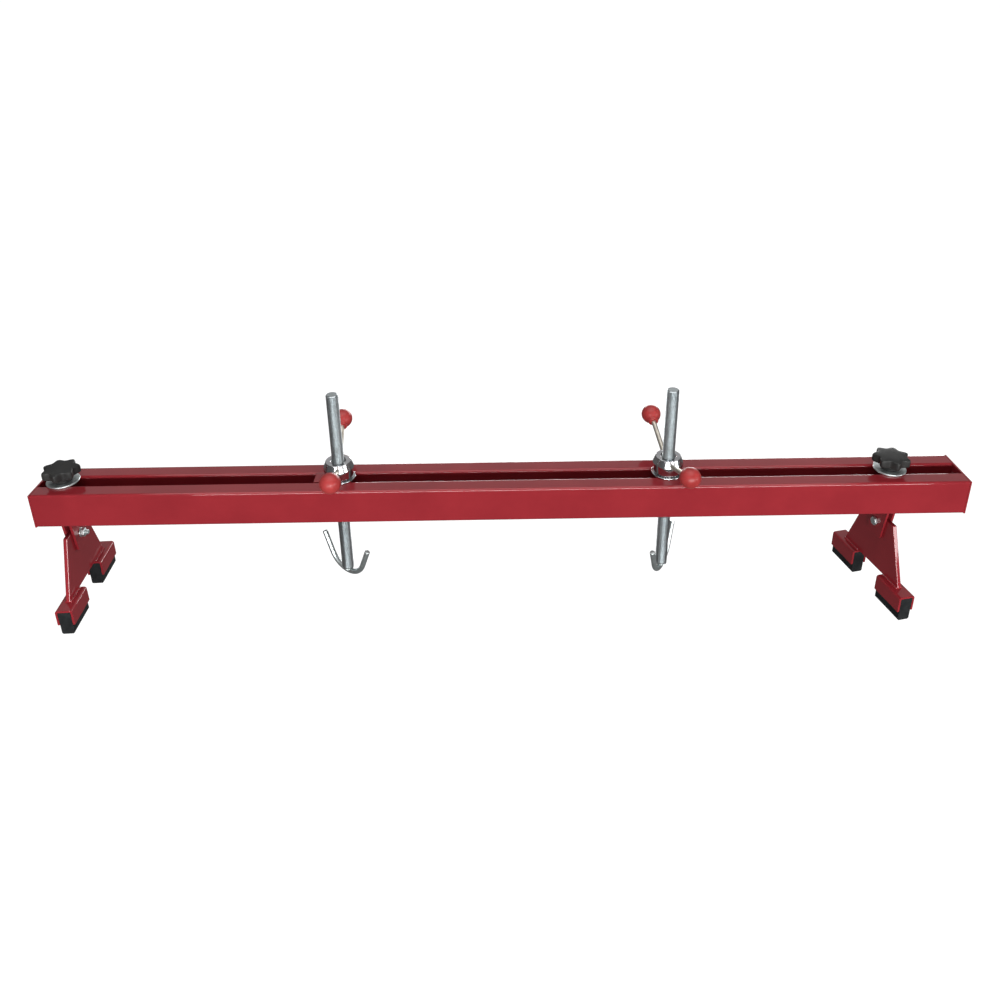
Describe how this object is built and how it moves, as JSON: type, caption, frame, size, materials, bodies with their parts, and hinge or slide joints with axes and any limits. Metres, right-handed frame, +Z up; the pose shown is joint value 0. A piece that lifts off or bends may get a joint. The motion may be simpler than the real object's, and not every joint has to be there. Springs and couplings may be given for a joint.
{
  "type": "engine support bar",
  "caption": "Slotted twin-tube support bar that stands on two clamped feet and lifts an engine with two hook screws under lever nuts.",
  "frame": {"origin": "on the floor under the middle of the bar, level with the pads' soles", "axes": "+X along the bar to the right, +Y to the rear rail, +Z up"},
  "size_m": [1.52, 0.2464, 0.3843],
  "materials": {
    "red_paint": "gloss enamel",
    "zinc_steel": "bright zinc plate",
    "chrome_steel": "polished chrome",
    "black_knob": "moulded satin",
    "red_ball": "moulded satin",
    "pad_rubber": "matt"
  },
  "bodies": {
    "bar": {"front_rail": "red_paint", "rear_rail": "red_paint", "left_end_plate": "red_paint", "right_end_plate": "red_paint", "left_cross_plate": "red_paint", "right_cross_plate": "red_paint"},
    "left_clamp": {"left_clamp_washer": "zinc_steel"},
    "left_knob": {"left_knob": "black_knob", "left_knob_insert": "zinc_steel"},
    "left_stud": {"left_clamp_stud": "zinc_steel"},
    "left_bracket": {"left_bracket": "red_paint", "left_pivot_bolt": "zinc_steel", "left_pivot_washer": "zinc_steel", "left_pivot_nut": "zinc_steel"},
    "left_leg": {"left_leg_plate": "red_paint", "left_front_foot_channel": "red_paint", "left_rear_foot_channel": "red_paint", "left_front_pad": "pad_rubber", "left_rear_pad": "pad_rubber"},
    "right_clamp": {"right_clamp_washer": "zinc_steel"},
    "right_knob": {"right_knob": "black_knob", "right_knob_insert": "zinc_steel"},
    "right_stud": {"right_clamp_stud": "zinc_steel"},
    "right_bracket": {"right_bracket": "red_paint", "right_pivot_bolt": "zinc_steel", "right_pivot_washer": "zinc_steel", "right_pivot_nut": "zinc_steel"},
    "right_leg": {"right_leg_plate": "red_paint", "right_front_foot_channel": "red_paint", "right_rear_foot_channel": "red_paint", "right_front_pad": "pad_rubber", "right_rear_pad": "pad_rubber"},
    "left_thrust_washer": {"left_thrust_washer": "zinc_steel"},
    "left_lift_nut": {"left_lift_nut": "chrome_steel", "left_front_lever": "chrome_steel", "left_rear_lever": "chrome_steel", "left_front_ball_grip": "red_ball", "left_rear_ball_grip": "red_ball"},
    "left_lift_screw": {"left_lift_screw": "zinc_steel"},
    "left_hook": {"left_double_hook": "zinc_steel"},
    "right_thrust_washer": {"right_thrust_washer": "zinc_steel"},
    "right_lift_nut": {"right_lift_nut": "chrome_steel", "right_front_lever": "chrome_steel", "right_rear_lever": "chrome_steel", "right_front_ball_grip": "red_ball", "right_rear_ball_grip": "red_ball"},
    "right_lift_screw": {"right_lift_screw": "zinc_steel"},
    "right_hook": {"right_double_hook": "zinc_steel"}
  },
  "joints": [
    {"name": "left_foot_slide", "type": "slide", "parent": "bar", "child": "left_clamp", "axis": [1, 0, 0], "range_m": [-0.028, 0.233]},
    {"name": "left_knob_turn", "type": "hinge", "parent": "left_clamp", "child": "left_knob", "pos_m": [-0.722, 0, 0.2523], "axis": [0, 0, 1], "range_deg": [0, 720]},
    {"name": "left_stud_drop", "type": "slide", "parent": "left_clamp", "child": "left_stud", "axis": [0, 0, 1], "range_m": [-0.0035, 0]},
    {"name": "left_foot_swivel", "type": "hinge", "parent": "left_stud", "child": "left_bracket", "pos_m": [-0.722, 0, 0.172], "axis": [0, 0, 1], "continuous": true},
    {"name": "left_leg_rock", "type": "hinge", "parent": "left_bracket", "child": "left_leg", "pos_m": [-0.722, 0, 0.1323], "axis": [0.9986, 0.0523, 0], "range_deg": [-43, 43]},
    {"name": "right_foot_slide", "type": "slide", "parent": "bar", "child": "right_clamp", "axis": [1, 0, 0], "range_m": [-0.147, 0.106]},
    {"name": "right_knob_turn", "type": "hinge", "parent": "right_clamp", "child": "right_knob", "pos_m": [0.644, 0, 0.2523], "axis": [0, 0, 1], "range_deg": [0, 720]},
    {"name": "right_stud_drop", "type": "slide", "parent": "right_clamp", "child": "right_stud", "axis": [0, 0, 1], "range_m": [-0.0035, 0]},
    {"name": "right_foot_swivel", "type": "hinge", "parent": "right_stud", "child": "right_bracket", "pos_m": [0.644, 0, 0.172], "axis": [0, 0, 1], "continuous": true},
    {"name": "right_leg_rock", "type": "hinge", "parent": "right_bracket", "child": "right_leg", "pos_m": [0.644, 0, 0.1323], "axis": [0.9781, 0.2079, 0], "range_deg": [-43, 43]},
    {"name": "left_hook_slide", "type": "slide", "parent": "bar", "child": "left_thrust_washer", "axis": [1, 0, 0], "range_m": [0, 0.139]},
    {"name": "left_nut_turn", "type": "hinge", "parent": "left_thrust_washer", "child": "left_lift_nut", "pos_m": [-0.267, 0, 0.2493], "axis": [0, 0, 1], "range_deg": [-8640, 15840]},
    {"name": "left_screw_lift", "type": "slide", "parent": "left_thrust_washer", "child": "left_lift_screw", "axis": [0, 0, 1], "range_m": [-0.11, 0.06]},
    {"name": "left_hook_swivel", "type": "hinge", "parent": "left_lift_screw", "child": "left_hook", "pos_m": [-0.267, 0, 0.054], "axis": [0, 0, 1], "continuous": true},
    {"name": "right_hook_slide", "type": "slide", "parent": "bar", "child": "right_thrust_washer", "axis": [1, 0, 0], "range_m": [-0.147, 0]},
    {"name": "right_nut_turn", "type": "hinge", "parent": "right_thrust_washer", "child": "right_lift_nut", "pos_m": [0.275, 0, 0.2493], "axis": [0, 0, 1], "range_deg": [-8640, 15840]},
    {"name": "right_screw_lift", "type": "slide", "parent": "right_thrust_washer", "child": "right_lift_screw", "axis": [0, 0, 1], "range_m": [-0.11, 0.06]},
    {"name": "right_hook_swivel", "type": "hinge", "parent": "right_lift_screw", "child": "right_hook", "pos_m": [0.275, 0, 0.054], "axis": [0, 0, 1], "continuous": true}
  ],
  "couplings": [
    {"joint": "left_knob_turn", "follows": "left_stud_drop", "rad_per_m": -3590.4},
    {"joint": "right_knob_turn", "follows": "right_stud_drop", "rad_per_m": -3590.4},
    {"joint": "left_screw_lift", "follows": "left_nut_turn", "m_per_rad": -0.00039789},
    {"joint": "right_screw_lift", "follows": "right_nut_turn", "m_per_rad": -0.00039789}
  ]
}
